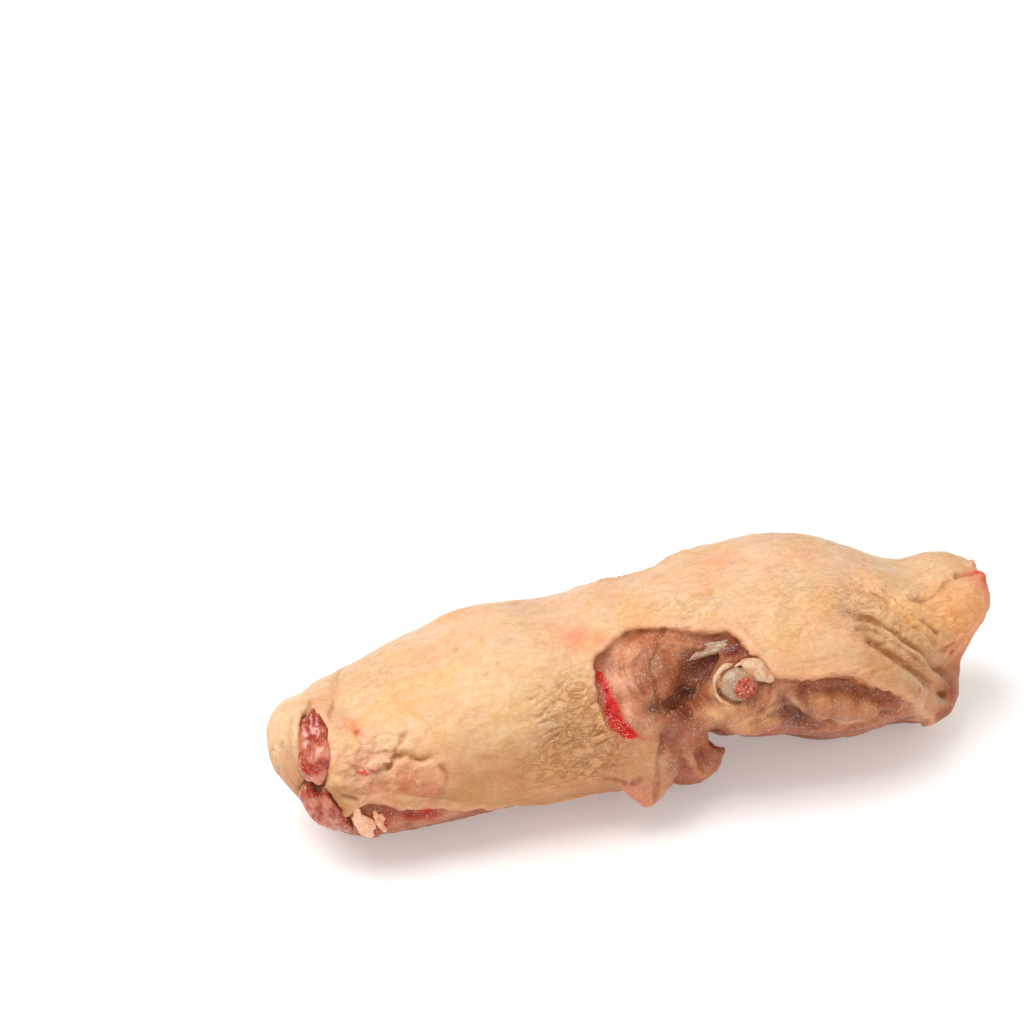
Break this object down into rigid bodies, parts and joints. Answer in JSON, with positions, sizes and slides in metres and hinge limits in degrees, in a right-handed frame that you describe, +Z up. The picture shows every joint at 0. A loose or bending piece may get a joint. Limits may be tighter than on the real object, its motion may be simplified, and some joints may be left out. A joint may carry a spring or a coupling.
{
  "type": "raw chicken back",
  "caption": "Raw chicken back with its skin and tail: a rounded trunk with a rolled neck end, a cut hip with its bone joint, and a flap of skin.",
  "frame": {"origin": "under the middle of the back, on the table that it lies on", "axes": "+X towards the tail, -Y towards the hip whose joint shows best, +Z up"},
  "size_m": [0.219, 0.0742, 0.0585],
  "materials": {
    "skin_and_flesh": "moist raw skin, cream with pink and yellow areas",
    "bone": "grey-white gristle over bone",
    "marrow": "rough red marrow",
    "muscle": "wet red muscle"
  },
  "bodies": {
    "root": {"skin_and_flesh": "skin_and_flesh", "hip_bone_near": "bone", "hip_marrow_near": "marrow", "hip_bone_far": "bone", "hip_marrow_far": "marrow", "neck_muscle_upper": "muscle", "neck_muscle_lower": "muscle"}
  },
  "joints": []
}
